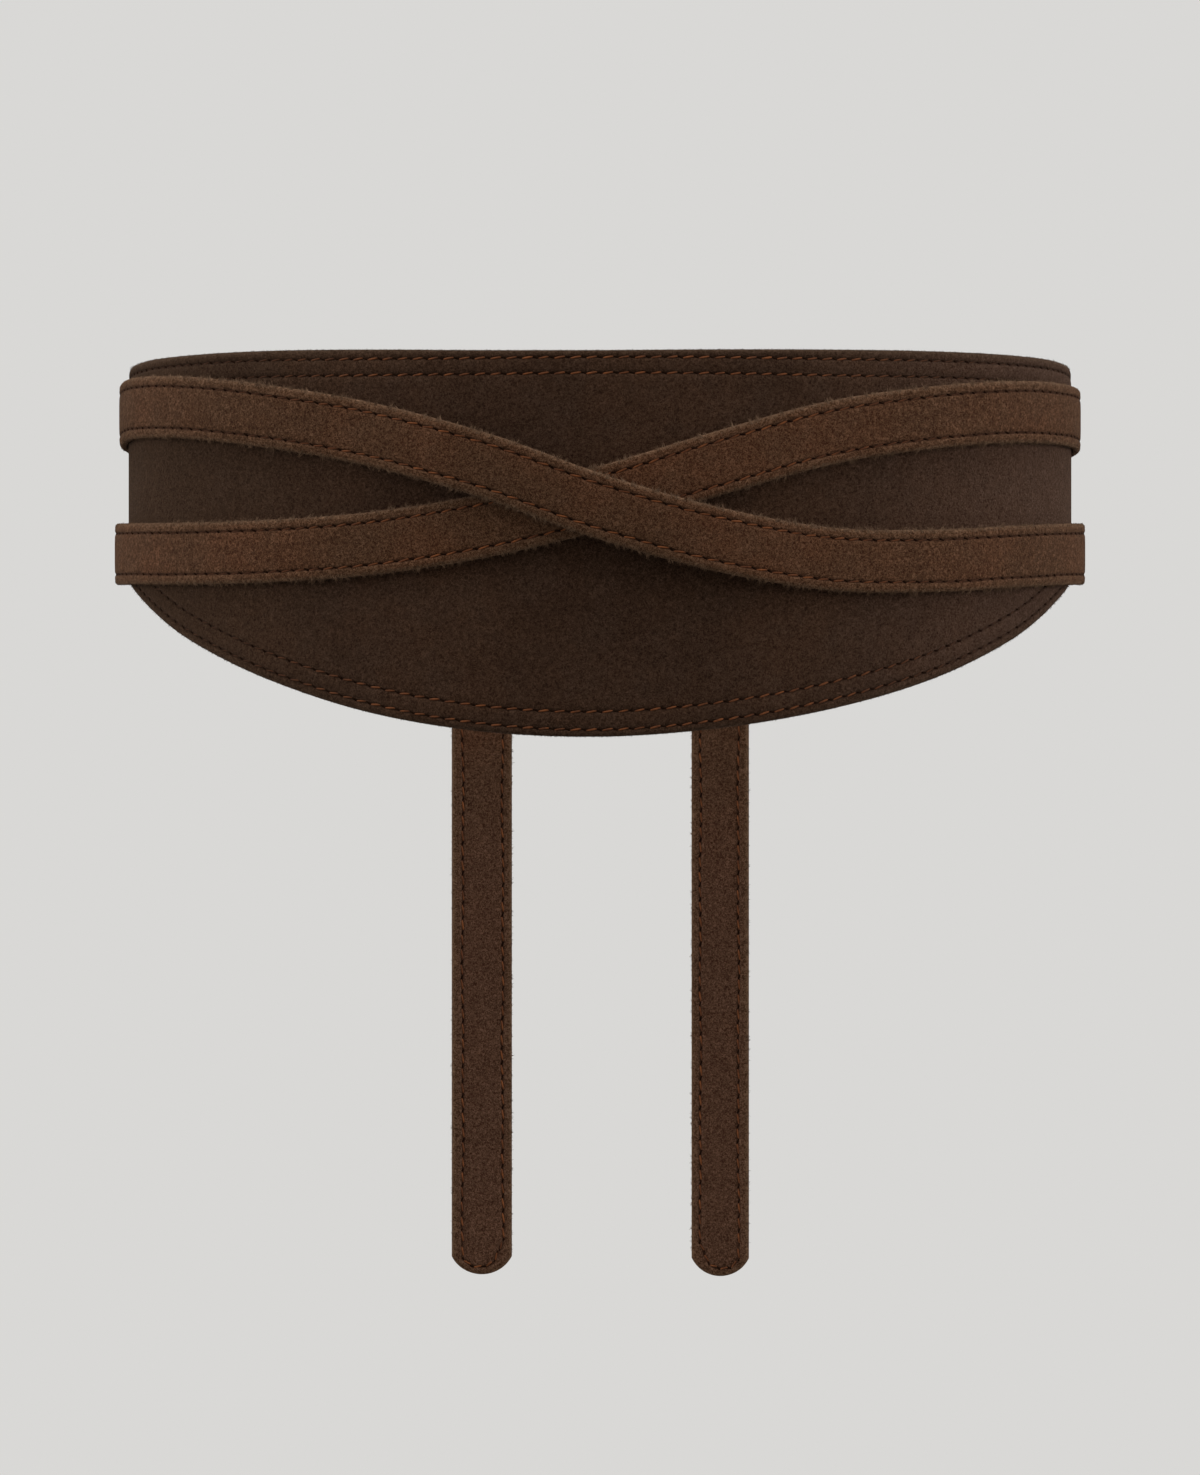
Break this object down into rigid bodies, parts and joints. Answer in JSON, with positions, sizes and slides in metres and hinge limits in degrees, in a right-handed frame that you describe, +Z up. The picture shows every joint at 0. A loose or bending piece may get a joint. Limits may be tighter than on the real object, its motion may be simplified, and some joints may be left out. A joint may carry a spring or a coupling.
{
  "type": "suede cummerbund",
  "caption": "Worn suede waist sash: a curved front panel, two straps crossing in front of it and hanging behind as round-ended tails, and a plain loop at the back.",
  "frame": {"origin": "on the axis of the waist, 50 mm above the lowest edge of the front panel", "axes": "+Z up along the waist's axis, -Y towards the front panel, +X to the right seen from the front"},
  "size_m": [0.2574, 0.2019, 0.248],
  "materials": {
    "dark_suede": "dark brown suede, matt, with a fine nap",
    "strap_suede": "mid brown suede, matt, with a fine nap"
  },
  "bodies": {
    "root": {"panel": "dark_suede", "strap_over": "strap_suede", "strap_under": "strap_suede", "back_keeper": "strap_suede"}
  },
  "joints": []
}
